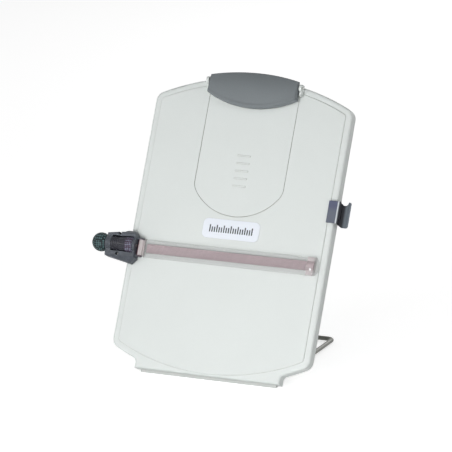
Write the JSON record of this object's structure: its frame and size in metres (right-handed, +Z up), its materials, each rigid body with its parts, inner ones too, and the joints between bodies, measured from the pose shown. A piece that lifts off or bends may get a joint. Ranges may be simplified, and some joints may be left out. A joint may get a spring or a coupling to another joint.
{
  "type": "copy holder with line guide",
  "caption": "Reclined desk board on a folding wire stand, with a sliding top clip, a knob-wound line guide bar on its left edge and a side clip.",
  "frame": {"origin": "middle of the flat of the rubber foot strip, on the desk", "axes": "+X to the right across the board, +Y away from the reader, +Z up from the desk"},
  "size_m": [0.3046, 0.2099, 0.3294],
  "materials": {
    "board": "fine satin, warm light grey",
    "label": "smooth white film",
    "clip": "satin slate grey",
    "rubber": "matt dark grey",
    "steel": "drawn, nickel plated",
    "spring": "bright spring steel",
    "housing": "satin charcoal",
    "knob": "matt dark green-black",
    "clear": "clear moulded acrylic",
    "tint": "translucent rose film",
    "wire": "grey epoxy coated wire",
    "nylon": "natural nylon"
  },
  "bodies": {
    "board": {"board_shell": "board", "foot_strip": "rubber", "label_plate": "label", "stand_hinge_left": "board", "stand_hinge_right": "board", "hinge_screws": "steel"},
    "slide": {"extension_slide": "board", "slide_retainer": "board", "slide_spring": "spring", "retainer_screws": "steel", "clip_hinge_pin": "steel", "clip_springs": "spring"},
    "clip": {"top_clip": "clip", "clip_pad": "rubber"},
    "carriage": {"carriage_housing": "housing", "rear_jaw": "housing", "glide_pad": "nylon", "press_spring": "spring", "carriage_screws": "steel", "bar_hinge_pin": "steel"},
    "winder": {"knob": "knob", "roller_shaft": "steel", "drum": "housing", "drive_roller": "rubber"},
    "bar": {"guide_bar": "clear", "tint_strip": "tint"},
    "side_slider": {"side_clip_body": "clip", "side_clip_pin": "steel", "side_clip_spring": "spring"},
    "side_jaw": {"side_clip_jaw": "clip"},
    "stand": {"wire_stand": "wire", "stand_sleeves": "rubber"}
  },
  "joints": [
    {"name": "slide_extend", "type": "slide", "parent": "board", "child": "slide", "axis": [0, 0.4415, 0.8973], "range_m": [0, 0.07]},
    {"name": "clip_open", "type": "hinge", "parent": "slide", "child": "clip", "pos_m": [0, 0.13649, 0.31748], "axis": [-1, 0, 0], "range_deg": [0, 20], "stiffness_Nm_per_rad": 0.3, "springref_deg": -28.65},
    {"name": "guide_travel", "type": "slide", "parent": "board", "child": "carriage", "axis": [0, 0.4415, 0.8973], "range_m": [-0.08, 0.15]},
    {"name": "knob_turn", "type": "hinge", "parent": "carriage", "child": "winder", "pos_m": [-0.1271, 0.04373, 0.13621], "axis": [1, 0, 0], "range_deg": [-919.3, 492.6]},
    {"name": "bar_swing", "type": "hinge", "parent": "carriage", "child": "bar", "pos_m": [-0.1051, 0.04625, 0.13363], "axis": [0, -0.4415, -0.8973], "range_deg": [0, 95]},
    {"name": "side_travel", "type": "slide", "parent": "board", "child": "side_slider", "axis": [0, 0.4415, 0.8973], "range_m": [-0.1, 0.045]},
    {"name": "side_open", "type": "hinge", "parent": "side_slider", "child": "side_jaw", "pos_m": [0.1266, 0.08445, 0.18817], "axis": [0, 0.4415, 0.8973], "range_deg": [0, 20], "stiffness_Nm_per_rad": 0.05, "springref_deg": -28.65},
    {"name": "stand_fold", "type": "hinge", "parent": "board", "child": "stand", "pos_m": [0, 0.00187, 0.00947], "axis": [1, 0, 0], "range_deg": [0, 65.51]}
  ],
  "couplings": [
    {"joint": "knob_turn", "follows": "guide_travel", "rad_per_m": -106.38}
  ]
}
